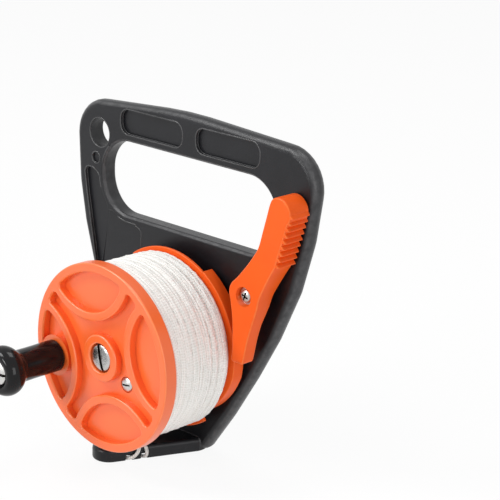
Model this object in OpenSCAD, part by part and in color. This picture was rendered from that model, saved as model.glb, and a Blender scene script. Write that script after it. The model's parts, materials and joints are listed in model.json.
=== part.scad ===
// Hand line reel: a moulded D-handle frame carries a crank-wound spool on one side.
// +Z is up, -Y faces the crank. The origin is on the ground, under the spool axis,
// in the plane of the frame's front face. Sizes are millimetres.

/* [Frame] */
// height of the spool axis above the ground
axis_h = 66.5; // [64:0.5:72]
// thickness of the frame plate
frame_t = 10; // [9:0.5:13]
// radius of the plate's rounded edges
frame_edge_r = 4.2; // [2:0.2:4.4]
// reach of the handle to the left of the spool axis
handle_left = 88; // [86:0.5:94]
// reach of the handle to the right of the spool axis
handle_right = 96.5; // [94:0.5:100]
// overall height of the frame
frame_h = 190.5; // [189:0.5:198]
// length of the hand opening
opening_l = 134; // [120:1:136]
// height of the hand opening
opening_h = 42.5; // [36:0.5:43]
// corner radius of the hand opening
opening_r = 20; // [12:0.5:20]
// bevel round the edges of the opening
opening_edge = 1.5; // [0.5:0.25:2]
// diameter of the clip hole in the upper corner
clip_hole_d = 17; // [12:0.5:20]
// depth of the recessed panels
panel_depth = 2; // [1:0.25:3]

/* [Tongue] */
// reach of the tongue's tip in front of the plate
tongue_reach = 51; // [48:0.5:53]
// thickness of the tongue
tongue_t = 8; // [7.5:0.25:9]
// radius of the tongue's round tip
tongue_tip_r = 9.5; // [9:0.5:12]
// radius of the tongue's upper edge
tongue_edge_r = 2.5; // [1:0.25:3]
// wall left round the pocket under the tongue
tongue_wall = 2.5; // [2:0.25:4]
// diameter of the line guide hole in the tip
guide_hole_d = 8; // [7:0.25:9]

/* [Spool] */
// diameter of the front flange
flange_d = 104; // [98:0.5:106]
// diameter of the rear flange
rear_d = 101.6; // [98:0.2:102]
// diameter over the ratchet lobes
ratchet_d = 103; // [102:0.5:104]
// diameter of the drum
drum_d = 50; // [48:1:60]
// wall of the drum
drum_wall = 3; // [2:0.25:4]
// width of the line space between the flanges
line_space = 42; // [38:0.5:46]
// depth of the front flange at its rim
front_rim = 8; // [7:0.25:10]
// width of the front flange's rim
rim_w = 5; // [3:0.5:7]
// depth of the recesses in the front flange
face_depth = 4.5; // [3.5:0.25:4.75]
// thickness of the arc ribs
arc_rib_w = 4.8; // [3:0.2:6]
// thickness of the rear flange
rear_web = 2; // [1.5:0.25:3]
// depth of the ratchet lobes behind the rear flange
lobe_depth = 5.5; // [4:0.25:7]
// gap between the lobes and the frame
rear_gap = 2.6; // [2.6:0.1:4]
// diameter of the axle
axle_d = 10; // [8:0.25:11]
// diameter of the centre screw's head
centre_head_d = 15; // [13:0.25:16]

/* [Crank knob] */
// distance of the knob from the spool axis
crank_r = 37.5; // [35:0.25:38]
// length of the knob
knob_l = 40.5; // [36:0.5:50]
// diameter of the knob's grip
knob_grip_d = 17.8; // [15:0.2:19]
// diameter of the knob's round end
knob_ball_d = 27.6; // [24:0.2:29]
// diameter of the knob screw's shank
knob_pin_d = 7; // [6:0.25:8]

/* [Thumb lever] */
// distance of the lever's pivot to the right of the spool axis
lever_x = 62.2; // [62:0.1:63]
// height of the lever's pivot above the spool axis
lever_z = 39.8; // [38:0.2:42]
// depth of the lever's lower arm
tail_depth = 8.8; // [8:0.2:10]
// length of the ribbed thumb arm above the pivot
thumb_l = 58.2; // [54:0.2:60]
// length of the lever's tail below the pivot
tail_l = 38; // [34:0.5:38]
// number of ribs under the thumb
thumb_ribs = 9; // [6:1:10]
// diameter of the lever's bush
lever_bush_d = 8; // [6.5:0.25:8.5]
// wire of the return spring
spring_wire = 1.2; // [1:0.05:1.3]

/* [Line] */
// thickness of the wound line
line_d = 1.55; // [1.4:0.05:1.55]
// turns in the outer layer
line_turns = 18; // [12:1:18]
// diameter over the wound line
wound_d = 98.4; // [86:0.2:98.8]
// thickness of the loose end of the line
lead_d = 2; // [1.6:0.1:2.1]

/* [Hidden] */
$fn = 96;
// clearances: running fit, plain gap between bodies, seat of a fixed piece
run_gap = 0.05;
gap = 0.3;
seat = 0.05;
// how far added shapes reach into the one they join, and cutters past a face
sink = 0.5;
past = 1;

orange = [0.93, 0.42, 0.06];
black = [0.09, 0.09, 0.1];
steel = [0.75, 0.75, 0.77];
nylon = [0.88, 0.87, 0.82];
brass = [0.78, 0.62, 0.3];
white = [0.95, 0.95, 0.93];

// stations along Y, from the frame's front face forwards
y_lobe = -rear_gap;
y_rear = y_lobe - lobe_depth;
y_rear_front = y_rear - rear_web;
y_web = y_rear_front - line_space;
y_face = y_web - front_rim;
y_floor = y_face + face_depth;

// spool bearings and centre screw
bush_t = 2.6;
bush_r = axle_d / 2 + run_gap + bush_t;
rear_boss_wall = 3.5;
front_boss_wall = 3;
spigot_wall = 3;
boss_r = 11.2;
head_pocket = 4.2;
head_t = 2.6;
head_room = 0.7;
slot_w = 1.8;
slot_depth = 1.3;
slot_turn = -14;
washer_t = 1;
y_bush = y_face + head_pocket;
y_axle = y_bush - 0.2;
collar_t = 1.2;
collar_r = axle_d / 2 + 4;
thrust_t = 1;
y_thrust = -collar_t - thrust_t;
rear_boss_l = 12;
y_rear_boss = y_thrust - gap;
stud_r = axle_d / 2 - 1;
nut_t = 4;
nut_r = stud_r + 4;
nut_pocket = nut_t + washer_t + 0.4;
nut_washer_r = nut_r;
washer_play = 0.2;
centre_shank_r = 2.5;
centre_shank_l = 12;

// face pattern of the front flange: four arcs round centres outside the ribs
face_r = flange_d / 2 - rim_w;
arc_turn = 12.5;
arc_centre = 55.5 * flange_d / 104;
arc_r = 30.5;
spigot_r = drum_d / 2 - drum_wall - 0.1;
spigot_l = 5;
flange_screw_a = -34;
flange_screw_r = drum_d / 2 - 4.7;
flange_screw_d = 3.4;
flange_head_r = 3.2;
flange_head_t = 1.8;
flange_cross = [0.8, 1, 3.6];
pillar_r = 4.5;
pillar_l = 16;

// ratchet lobes: full height for most of their length, then a ramp
lobe_wall = 7.5;
lobe_from = -55;
lobe_ramp = 42;
lobe_to = 59;
ramp_drop = 6;

// crank knob
crank_a = arc_turn + 180;
crank_boss_r = 11.2;
y_knob = y_face - gap;
y_knob_end = y_knob - knob_l;
knob_bore_r = knob_pin_d / 2 + run_gap;
knob_head_r = 6.8;
knob_head_t = 3;
knob_slot_w = 1.4;
knob_slot_depth = 1.2;
knob_ball_in = 6;
knob_ball_half = 10;
knob_end_r = knob_head_r + 1.2;
knob_end_depth = 3.6;
knob_thread_r = knob_pin_d / 2 - 0.6;
knob_nut_r = knob_thread_r + 2.6;
knob_nut_t = 3;
knob_nut_in = 0.4;
knob_washer_t = 0.8;
knob_washer_r = knob_pin_d / 2 + 2.6;

// thumb lever, measured from its pivot
lever_gap = 0.2;
lever_boss_h = 6;
lever_boss_r = 6;
y_lever_back = -lever_boss_h - lever_gap;
y_lever = y_lever_back - tail_depth;
hub_r = 11;
counterbore_r = 5.4;
counterbore = 4;
y_counterbore = y_lever + counterbore;
lever_head_r = 3.6;
lever_head_t = 2.2;
lever_cross = [1, 1.4, 4.4];
lever_cross_turn = 20;
lever_shank_r = 1.9;
sleeve_play = 0.15;
lever_shank_l = 16;
lever_washer_t = 0.8;
lever_washer_r = 4.7;

// return spring of the lever: coil round the boss, a tang into each piece
spring_r = lever_boss_r + spring_wire / 2 + 0.6;
spring_turns = 2;
spring_pitch = spring_wire + 0.5;
spring_bend = 1.4;
tang_l = 1.6;
tang_hole_r = spring_wire / 2 + 0.3;
spring_a = 200;

// tongue, seen from above
root_r = 8;
root_left = [-21, frame_t - root_r - 0.5];
root_right = [8.5, frame_t - root_r - 0.5];
tongue_tip = [-13.5, tongue_tip_r - tongue_reach];
tongue_foot_r = 1;
pocket_h = 3.3;
pocket_y = -6;
notch_w = 3.4;
notch_y = [-37.6, -29.7];

// loose end of the line: off the drum, over the tongue's edge, up through the guide, over again
core_r = wound_d / 2 - line_d - 0.45;
leave_a = -115;
lead_off = wound_d / 2 + gap + lead_d / 2;
lead_z = lead_d / 2 + 0.1;
over_z = tongue_t + lead_d / 2 + 0.8;
mid_z = (lead_z + over_z) / 2;
bow = (over_z - lead_z) / 2;
edge_in = 2.2;
dip = bow * sin(45);
tip_x = tongue_tip[0];
tip_y = tongue_tip[1];
knot_r = 1.45;

// points where the tongue's straight sides leave its tip and its root, drawn in by an inset
function side_at(p, r, root, side) =
    let (along = unit(root - tongue_tip)) p + side * r * [along[1], -along[0]];
side_tip = side_at(tongue_tip, tongue_tip_r, root_right, 1);
side_root = side_at(root_right, root_r, root_right, 1);
function edge_x(y) = side_root[0]
    + (y - side_root[1]) * (side_tip[0] - side_root[0]) / (side_tip[1] - side_root[1]);
edge_2 = edge_x(notch_y[1]);
function polar(r, a) = [r * cos(a), r * sin(a)];
// a point of the second strand, which runs slantwise down the tongue's edge
function slant(y, out, z) = [edge_x(y) - edge_in + out, y, z];

leave = [lead_off * cos(leave_a), notch_y[1], axis_h + lead_off * sin(leave_a)];
lead_route = [
    leave,
    leave + [4, 0, -1.8],
    leave + [8, 0, -3.8],
    leave + [12, 0, -6.2],
    [edge_2 - 6.5, notch_y[1] - 0.5, over_z + 1.3],
    [edge_2 - edge_in, notch_y[1] - 1, over_z],
    [edge_2 - edge_in + dip, notch_y[1] - 0.8, mid_z + dip],
    [edge_2 - edge_in + bow, notch_y[1] - 0.4, mid_z],
    [edge_2 - edge_in + dip, notch_y[1], mid_z - dip],
    [edge_2 - edge_in, notch_y[1], lead_z],
    [edge_2 - 6, notch_y[1] - 1, lead_z],
    [edge_2 - 10, notch_y[1] - 4, lead_z],
    [tip_x + 2, tip_y + 6.5, lead_z],
    [tip_x + 0.6, tip_y + 3.4, lead_z + 0.4],
    [tip_x, tip_y + 1, lead_z + 2],
    [tip_x - 0.4, tip_y - 0.4, lead_z + 4.4],
    [tip_x + 0.2, tip_y - 0.4, lead_z + 6.8],
    [tip_x + 2.2, tip_y + 0.4, over_z],
    [tip_x + 6, tip_y + 3.2, over_z + 0.3],
    slant(-34.4, -2.4, over_z + 0.2),
    slant(-33, 0, over_z),
    slant(-33.3, dip, mid_z + dip),
    slant(-34.7, bow, mid_z),
    slant(-36.5, dip, mid_z - dip),
    slant(notch_y[0], 0, lead_z),
    slant(notch_y[0] - 0.2, -2.4, lead_z),
    slant(notch_y[0] - 0.2, -4.2, lead_z)
];

// outer layer of line: a helix whose two ends turn and meet the flanges squarely
chord = cos(7.5);
wind_r = (core_r + line_d / 2 + 0.05) / chord;
wind_bend = 1.4;
wind_from = y_web + line_d + wind_bend;
wind_to = y_rear_front - line_d - wind_bend;
wind_pitch = (wind_to - wind_from) / line_turns;
bend_a = 180 * wind_bend / (PI * wind_r);
winding_route = concat(
    [wind_point(-bend_a, y_web), wind_point(-bend_a, y_web + line_d)],
    [for (s = [45]) wind_point(bend_a * (-cos(s)), wind_from - wind_bend * (1 - sin(s)))],
    [for (i = [0 : 24 * line_turns]) wind_point(i * 15, wind_from + wind_pitch * i / 24)],
    [for (s = [45]) wind_point(360 * line_turns + bend_a * cos(s), wind_to + wind_bend * (1 - sin(s)))],
    [wind_point(360 * line_turns + bend_a, y_rear_front - line_d),
     wind_point(360 * line_turns + bend_a, y_rear_front)]
);
function wind_point(a, y) = [wind_r * cos(a), y, axis_h + wind_r * sin(a)];

// least distance between neighbouring turns, less the line's own thickness
wind_gap = min([for (i = [0 : len(winding_route) - 28]) for (k = [23 : 25])
    norm(winding_route[i + k] - winding_route[i])]) - line_d;
echo(winding_least_gap = wind_gap);

spring_from = -(spring_wire / 2 + spring_bend + 0.1);
spring_rise = spring_pitch * spring_turns;
spring_bend_a = 180 * spring_bend / (PI * spring_r);
spring_end_a = spring_a - 360 * spring_turns;
spring_route = concat(
    [spring_point(spring_a + spring_bend_a, tang_l), spring_point(spring_a + spring_bend_a, 0)],
    [spring_point(spring_a + spring_bend_a * cos(45), spring_from + spring_bend * (1 - sin(45)))],
    [for (i = [0 : 8 * spring_turns])
        spring_point(spring_a - 45 * i, spring_from - spring_pitch * i / 8)],
    [spring_point(spring_end_a - spring_bend_a * cos(45),
        spring_from - spring_rise - spring_bend * (1 - sin(45)))],
    [spring_point(spring_end_a - spring_bend_a, y_lever_back),
     spring_point(spring_end_a - spring_bend_a, y_lever_back - tang_l)]
);
function spring_point(a, y) = [lever_x + spring_r * cos(a), y, axis_h + lever_z + spring_r * sin(a)];

// a tube of one thickness along a list of points, its ends square to the first and last stretch
function unit(v) = v / norm(v);
function heading(p, i) =
    i == 0 ? unit(p[1] - p[0]) :
    i == len(p) - 1 ? unit(p[i] - p[i - 1]) :
    unit(unit(p[i + 1] - p[i]) + unit(p[i] - p[i - 1]));
function carried(side, to) = unit(side - (side * to) * to);
function side_list(p, first) = [
    for (i = 0, s = carried(first, heading(p, 0)); i < len(p);
         i = i + 1, s = i < len(p) ? carried(s, heading(p, i)) : s) s
];

// a smooth curve through chosen points, with n steps from each to the next
function smooth(p, n) = concat(
    [for (i = [0 : len(p) - 2]) for (k = [0 : n - 1])
        let (t = k / n, b = p[i], c = p[i + 1],
             a = i == 0 ? 2 * b - c : p[i - 1],
             d = i == len(p) - 2 ? 2 * c - b : p[i + 2])
        b + 0.5 * t * (c - a + t * (2 * a - 5 * b + 4 * c - d + t * (3 * (b - c) + d - a)))],
    [p[len(p) - 1]]);

module tube(p, d, n, first) {
    side = side_list(p, first);
    points = [for (i = [0 : len(p) - 1]) for (k = [0 : n - 1])
        let (t = heading(p, i), a = 360 * k / n)
        p[i] + d / 2 * (cos(a) * side[i] + sin(a) * cross(t, side[i]))];
    walls = [for (i = [0 : len(p) - 2]) for (k = [0 : n - 1]) for (half = [0, 1])
        let (a = i * n + k, b = i * n + (k + 1) % n)
        half == 0 ? [a, a + n, b] : [b, a + n, b + n]];
    near_cap = [for (k = [1 : n - 2]) [0, k, k + 1]];
    last = (len(p) - 1) * n;
    far_cap = [for (k = [1 : n - 2]) [last, last + k + 1, last + k]];
    polyhedron(points, concat(walls, near_cap, far_cap));
}

// a cylinder along Y from one station to another
module rod(r, from, to) {
    translate([0, from, 0])
        rotate([-90, 0, 0])
            cylinder(r = r, h = to - from);
}

// a drawing in X and Z pushed along Y from one station to another
module slab(from, to) {
    translate([0, to, 0])
        rotate([90, 0, 0])
            linear_extrude(to - from)
                children();
}

module ring(outer, inner, from, to) {
    difference() {
        rod(outer, from, to);
        rod(inner, from - past, to + past);
    }
}

module at_axis() {
    translate([0, 0, axis_h])
        children();
}

module at_polar(r, a) {
    translate([r * cos(a), 0, r * sin(a)])
        children();
}

module at_crank() {
    at_axis()
        at_polar(crank_r, crank_a)
            children();
}

module at_pivot() {
    translate([lever_x, 0, axis_h + lever_z])
        children();
}

module round_slot(w, h, r) {
    square([w - 2 * r, h], center = true);
    square([w, h - 2 * r], center = true);
    for (x = [-1, 1])
        for (z = [-1, 1])
            translate([x * (w / 2 - r), z * (h / 2 - r)])
                circle(r);
}

// frame

// one round-edged corner of the plate; the plate is the skin stretched over all of them
module corner(x, z, r) {
    translate([x, frame_t / 2, z])
        rotate([90, 0, 0])
            rotate_extrude($fn = 36)
                union() {
                    translate([0, -frame_t / 2])
                        square([r - frame_edge_r, frame_t]);
                    translate([0, -frame_t / 2 + frame_edge_r])
                        square([r, frame_t - 2 * frame_edge_r]);
                    for (s = [-1, 1])
                        translate([r - frame_edge_r, s * (frame_t / 2 - frame_edge_r)])
                            circle(frame_edge_r, $fn = 16);
                }
}

// the top edge: along from the spool axis, down from the crown
crown_line = [[-34, 1.6], [-18, 0.55], [-2, 0], [14, 0.25], [36, 1.35]];
// how the plate narrows on each side: in from the handle's reach, down from the crown
corner_r = 22;
foot_r = 9;
narrow_left = [[0, 3.9], [1, 28.5], [4.9, 50.5], [11.2, 72.5], [18.8, 98.5]];
narrow_right = [[0, 3.5], [3.9, 26.5], [11.9, 52.5], [24.3, 78.5], [39.6, 104.5], [56.4, 130.5]];
foot_left = -22;
foot_right = 13;

module plate() {
    hull() {
        for (step = crown_line)
            corner(step[0], frame_h - corner_r - step[1], corner_r);
        for (step = narrow_left)
            corner(corner_r - handle_left + step[0], frame_h - corner_r - step[1], corner_r);
        for (step = narrow_right)
            corner(handle_right - corner_r - step[0], frame_h - corner_r - step[1], corner_r);
        for (x = [foot_left, foot_right])
            corner(x, foot_r, foot_r);
    }
}

opening_x = 2.5;
opening_z = frame_h - 24 - opening_h / 2;
clip_x = 20.5 - handle_left;
clip_z = frame_h - 22.5;
bar_z = frame_h - 12.5;
bar_panels = [[-25, 50], [34, 48]];
bar_panel_h = 14.5;
bar_panel_r = 6;

module opening_shape(grow) {
    translate([opening_x, opening_z])
        round_slot(opening_l + 2 * grow, opening_h + 2 * grow, opening_r + grow);
}

// the bevel of the opening's edge: cones in the corners, wedges along the sides
module opening_bevel() {
    w = opening_l / 2;
    h = opening_h / 2;
    out = opening_edge + past;
    translate([opening_x, 0, opening_z]) {
        for (x = [-1, 1])
            for (z = [-1, 1])
                translate([x * (w - opening_r), -past, z * (h - opening_r)])
                    rotate([-90, 0, 0])
                        cylinder(r1 = opening_r + out, r2 = opening_r, h = out);
        rotate([90, 0, 90])
            linear_extrude(2 * (w - opening_r), center = true)
                polygon([[-past, h + out], [opening_edge, h], [opening_edge, -h], [-past, -h - out]]);
        linear_extrude(2 * (h - opening_r), center = true)
            polygon([[w + out, -past], [w, opening_edge], [-w, opening_edge], [-w - out, -past]]);
    }
}

// recess down the left strut, and the shallower field between it and the spool,
// both drawn in from the handle's left reach and down from the crown
border = 3.6;
strut_outline = [[7.3, 47], [8.4, 44.7], [10.2, 43.7], [14.4, 43.9], [18, 45.6], [21.5, 50], [27, 66.6],
    [23.4, 87], [21.5, 98.3], [20, 107], [16.6, 107], [16.2, 99.6], [11.3, 73], [8.9, 59.2]];
field_outline = [[27, 66.6], [38, 64.5], [50, 66], [50.5, 71], [53.4, 72], [54.8, 73.6], [54.8, 114],
    [30, 114], [21.5, 98.3], [23.4, 87]];
dimple = [17, 37.6];
dimple_r = 3.4;

function from_crown(p) = [p[0] - handle_left, frame_h - p[1]];

module recess_shape(outline) {
    difference() {
        polygon([for (p = outline) from_crown(p)]);
        opening_shape(border);
    }
}

// one round-edged end of the tongue; the tongue is the skin stretched over three of them
module tongue_end(p, r) {
    translate(p)
        rotate_extrude($fn = 36)
            union() {
                square([r - tongue_edge_r, tongue_t]);
                square([r - tongue_foot_r, tongue_t - tongue_edge_r]);
                translate([0, tongue_foot_r])
                    square([r, tongue_t - tongue_edge_r - tongue_foot_r]);
                translate([r - tongue_edge_r, tongue_t - tongue_edge_r])
                    circle(tongue_edge_r, $fn = 16);
                translate([r - tongue_foot_r, tongue_foot_r])
                    circle(tongue_foot_r, $fn = 8);
            }
}

// the hollow under the tongue follows its sides
module pocket_shape() {
    r = tongue_tip_r - tongue_wall;
    inset = root_r - tongue_wall;
    translate(tongue_tip)
        circle(r);
    polygon([
        side_at(tongue_tip, r, root_left, -1),
        side_at(tongue_tip, r, root_right, 1),
        side_at(root_right, inset, root_right, 1),
        side_at(root_left, inset, root_left, -1)
    ]);
}

module tongue() {
    difference() {
        hull() {
            tongue_end(tongue_tip, tongue_tip_r);
            tongue_end(root_left, root_r);
            tongue_end(root_right, root_r);
        }
        translate([0, 0, -past])
            linear_extrude(pocket_h + past)
                difference() {
                    pocket_shape();
                    translate([-handle_left, pocket_y])
                        square([2 * handle_left, frame_t - pocket_y]);
                }
        for (y = notch_y)
            translate([edge_x(y) - 2 * tongue_wall, y - notch_w / 2, -past])
                cube([3 * tongue_wall, notch_w, pocket_h + past]);
        translate([tip_x, tip_y, -past])
            cylinder(d = guide_hole_d, h = tongue_t + 2 * past);
    }
}

module frame() {
    color(black)
        difference() {
            union() {
                plate();
                tongue();
                at_pivot()
                    rod(lever_boss_r, -lever_boss_h, sink);
            }
            slab(-past, frame_t + past)
                opening_shape(0);
            opening_bevel();
            translate([0, frame_t, 0])
                mirror([0, 1, 0])
                    opening_bevel();
            translate([clip_x, 0, clip_z])
                rod(clip_hole_d / 2, -past, frame_t + past);
            for (panel = bar_panels)
                slab(-past, panel_depth)
                    translate([panel[0], bar_z])
                        round_slot(panel[1], bar_panel_h, bar_panel_r);
            slab(-past, panel_depth)
                recess_shape(strut_outline);
            slab(-past, panel_depth / 2)
                recess_shape(field_outline);
            translate([from_crown(dimple)[0], 0, from_crown(dimple)[1]])
                rod(dimple_r, -past, panel_depth / 2);
            at_axis() {
                rod(stud_r + seat, -past, frame_t + past);
                rod(nut_washer_r + gap, frame_t - nut_pocket, frame_t + past);
            }
            at_pivot()
                rod(lever_shank_r + seat, -lever_boss_h - past,
                    lever_shank_l - lever_boss_h - counterbore);
            translate(spring_route[0])
                rod(tang_hole_r, -tang_l - past, 1);
        }
}

// axle and its fastenings

module axle() {
    color(steel)
        at_axis()
            difference() {
                union() {
                    rod(axle_d / 2, y_axle, -collar_t + sink);
                    rod(collar_r, -collar_t, 0);
                    rod(stud_r, -sink, frame_t - 0.3);
                }
                rod(centre_shank_r + seat, y_axle - past, y_axle + centre_shank_l + past);
            }
}

module axle_washer() {
    color(steel)
        at_axis()
            ring(nut_washer_r, stud_r + washer_play, frame_t - nut_pocket, frame_t - nut_pocket + washer_t);
}

module axle_nut() {
    color(steel)
        at_axis()
            difference() {
                translate([0, frame_t - nut_pocket + washer_t + nut_t, 0])
                    rotate([90, 0, 0])
                        cylinder(r = nut_r, h = nut_t, $fn = 6);
                rod(stud_r + seat, 0, frame_t + past);
            }
}

module thrust_washer() {
    color(nylon)
        at_axis()
            ring(collar_r, axle_d / 2 + run_gap, y_thrust, -collar_t);
}

module centre_screw() {
    color(steel)
        at_axis()
            difference() {
                union() {
                    rod(centre_head_d / 2, y_axle - washer_t - head_t, y_axle - washer_t);
                    rod(centre_shank_r, y_axle - washer_t - sink, y_axle + centre_shank_l - sink);
                }
                rotate([0, slot_turn, 0])
                    translate([-slot_w / 2, y_axle - washer_t - head_t - past, -centre_head_d])
                        cube([slot_w, past + slot_depth, 2 * centre_head_d]);
            }
}

module front_washer() {
    color(steel)
        at_axis()
            ring(centre_head_d / 2, centre_shank_r + washer_play, y_axle - washer_t, y_axle);
}

// spool

// everything outside the ramp at the falling end of a lobe
module ramp_cut() {
    steps = 12;
    out_r = ratchet_d / 2 + 3;
    polygon(concat(
        [for (i = [0 : steps])
            polar(ratchet_d / 2 - ramp_drop * (1 - i / steps), lobe_from + lobe_ramp * i / steps)],
        [for (i = [0 : 3]) polar(out_r, lobe_from + lobe_ramp * (1 - i / 3))]
    ));
}

module lobe_sector() {
    reach = ratchet_d;
    polygon([
        [0, 0],
        polar(reach, lobe_from),
        polar(reach, (lobe_from * 2 + lobe_to) / 3),
        polar(reach, (lobe_from + lobe_to * 2) / 3),
        polar(reach, lobe_to)
    ]);
}

module lobe_shape() {
    difference() {
        intersection() {
            circle(ratchet_d / 2);
            lobe_sector();
        }
        circle(ratchet_d / 2 - lobe_wall);
        ramp_cut();
    }
}

module spool_body() {
    color(orange)
        at_axis()
            difference() {
                union() {
                    slab(y_rear_front, y_rear)
                        difference() {
                            union() {
                                circle(rear_d / 2);
                                for (turn = [0, 180])
                                    rotate(turn)
                                        lobe_shape();
                            }
                            for (turn = [0, 180])
                                rotate(turn)
                                    ramp_cut();
                        }
                    for (turn = [0, 180])
                        slab(y_rear - sink, y_lobe)
                            rotate(turn)
                                lobe_shape();
                    rod(bush_r + rear_boss_wall, y_rear_front - rear_boss_l, y_rear_boss);
                    ring(drum_d / 2, drum_d / 2 - drum_wall, y_web, y_rear_front + sink);
                    intersection() {
                        at_polar(flange_screw_r, flange_screw_a)
                            rod(pillar_r, y_web, y_web + pillar_l);
                        rod(drum_d / 2, y_web, y_rear_front);
                    }
                }
                rod(bush_r, y_rear_front - rear_boss_l - past, past);
                at_polar(flange_screw_r, flange_screw_a)
                    rod(flange_screw_d / 2 + seat, y_web - past, y_web + pillar_l - 2);
            }
}

module rear_bush() {
    color(nylon)
        at_axis()
            ring(bush_r - seat, axle_d / 2 + run_gap, y_rear_front - rear_boss_l, y_rear_boss);
}

// one arc rib and the lens-shaped recess inside it are drawn round a centre outside the face
module arc_ribs() {
    for (k = [0 : 3])
        rotate(arc_turn + 90 * k)
            translate([arc_centre, 0])
                difference() {
                    circle(arc_r + arc_rib_w);
                    circle(arc_r);
                }
}

module face_recess() {
    difference() {
        circle(face_r);
        arc_ribs();
        circle(boss_r);
        translate(polar(crank_r, crank_a))
            circle(crank_boss_r);
    }
}

module front_flange() {
    color(orange)
        at_axis()
            difference() {
                union() {
                    difference() {
                        rod(flange_d / 2, y_face, y_web);
                        slab(y_face - past, y_floor)
                            face_recess();
                    }
                    difference() {
                        rod(spigot_r, y_web - sink, y_web + spigot_l);
                        rod(spigot_r - spigot_wall, y_web, y_web + spigot_l + past);
                        at_polar(flange_screw_r, flange_screw_a)
                            rod(pillar_r + gap, y_web, y_web + spigot_l + past);
                    }
                    rod(bush_r + front_boss_wall, y_web - sink, y_web + spigot_l);
                }
                rod(centre_head_d / 2 + head_room, y_face - past, y_bush);
                rod(bush_r, y_face, y_web + spigot_l + past);
                at_polar(flange_screw_r, flange_screw_a)
                    rod(flange_screw_d / 2 + 0.1, y_face, y_web + past);
                at_polar(crank_r, crank_a) {
                    rod(knob_thread_r + seat, y_face - past, y_web + past);
                    rod(knob_nut_r + gap, y_web - knob_nut_t - knob_nut_in, y_web + past);
                }
            }
}

module front_bush() {
    color(nylon)
        at_axis()
            ring(bush_r - seat, axle_d / 2 + run_gap, y_bush, y_web + spigot_l);
}

module flange_screw() {
    color(steel)
        at_axis()
            at_polar(flange_screw_r, flange_screw_a)
                difference() {
                    union() {
                        rod(flange_head_r, y_floor - flange_head_t, y_floor);
                        rod(flange_screw_d / 2, y_floor - sink, y_web + pillar_l - 3);
                    }
                    for (turn = [0, 90])
                        rotate([0, turn, 0])
                            translate([-flange_cross[0] / 2, y_floor - flange_head_t - past,
                                    -flange_cross[2] / 2])
                                cube([flange_cross[0], past + flange_cross[1], flange_cross[2]]);
                }
}

// crank knob

module knob_grip() {
    grip_r = knob_grip_d / 2;
    ball_r = knob_ball_d / 2;
    ball_y = knob_l - knob_ball_in;
    from_a = -acos(grip_r / ball_r);
    to_a = asin(knob_ball_in / knob_ball_half);
    steps = 16;
    foot_r = knob_washer_r + gap;
    foot_y = knob_washer_t + gap;
    end_y = knob_l - knob_end_depth;
    color(black)
        at_crank()
            translate([0, y_knob, 0])
                rotate([90, 0, 0])
                    rotate_extrude()
                        polygon(concat(
                            [[knob_bore_r, end_y], [knob_bore_r, foot_y], [foot_r, foot_y], [foot_r, 0],
                             [grip_r, 0]],
                            [for (i = [0 : steps])
                                let (a = from_a + (to_a - from_a) * i / steps)
                                [ball_r * cos(a), ball_y + knob_ball_half * sin(a)]],
                            [[knob_end_r, knob_l], [knob_end_r, end_y]]));
}

module knob_screw() {
    y_head = y_knob_end + knob_end_depth - gap;
    color(steel)
        at_crank()
            difference() {
                union() {
                    rod(knob_head_r, y_head - knob_head_t, y_head);
                    rod(knob_pin_d / 2, y_head - sink, y_face - knob_washer_t);
                    rod(knob_thread_r, y_face - knob_washer_t - sink, y_web - knob_nut_in);
                }
                translate([-knob_head_r - past, y_head - knob_head_t - past, -knob_slot_w / 2])
                    cube([2 * (knob_head_r + past), past + knob_slot_depth, knob_slot_w]);
            }
}

module knob_washer() {
    color(steel)
        at_crank()
            ring(knob_washer_r, knob_thread_r + 0.1, y_face - knob_washer_t, y_face);
}

module knob_nut() {
    color(steel)
        at_crank()
            difference() {
                translate([0, y_web - knob_nut_in, 0])
                    rotate([90, 0, 0])
                        cylinder(r = knob_nut_r, h = knob_nut_t, $fn = 6);
                rod(knob_thread_r + seat, y_face, y_web + past);
            }
}

// thumb lever

// outline of the lever from its pivot: the right side from the ribs down, the left side up and over
thumb_span = 38.2;
tail_span = 22;
thumb_root = [18, 20];
tail_root = -16;
right_side = [[21.6, 20.6], [17.9, 14.4], [13.5, 6.8], [10.5, 0.8], [8.8, -5.4], [6.2, -14.5],
    [3.2, -24], [0, -37.4], [-0.5, -38]];
left_side = [[-8.4, -38], [-8.8, -37.2], [-8, -31.5], [-8, -16], [-9.4, -6], [-10.8, 0], [-9.4, 4.6],
    [-4.7, 10], [1, 16.8], [5.9, 23.2], [9.7, 29.3], [12.4, 38], [15.1, 47], [17, 53.4], [18.4, 56.2],
    [20.8, 57.8], [24.2, 58.2], [27.6, 57], [30.2, 54.4], [31.2, 51.6], [31.2, 49.4], [30.4, 47.6]];
rib_top = reach([32.6, 48.4]);
rib_foot = reach([23, 20.9]);
rib_depth = 1.6;
rib_in = 0.8;
thumb_from = 18;
hub_swell = 2.6;
spring_room = spring_r + spring_wire + gap;
y_thumb = -lever_gap - gap;

// the thumb arm stretches above the root of the thumb, the tail below its own
function reach(p) =
    p[1] > thumb_root[1] ? thumb_root + (p - thumb_root) * (thumb_l - thumb_root[1]) / thumb_span :
    p[1] < tail_root ? [p[0], tail_root + (p[1] - tail_root) * (tail_l + tail_root) / tail_span] :
    p;

module lever_outline() {
    polygon(concat(
        smooth([for (p = right_side) reach(p)], 4),
        smooth([for (p = left_side) reach(p)], 4)));
    circle(hub_r);
}

// depth of the lever seen from the side: full behind the thumb, less at the hub, least at the tail
module lever_depth() {
    rotate([90, 0, 90])
        linear_extrude(2 * thumb_l, center = true)
            polygon([[y_lever, -tail_l - past], [y_lever, thumb_l + past], [y_thumb, thumb_l + past],
                [y_thumb, thumb_from], [y_lever_back + hub_swell, 0], [y_lever_back, tail_root],
                [y_lever_back, -tail_l - past]]);
}

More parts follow.
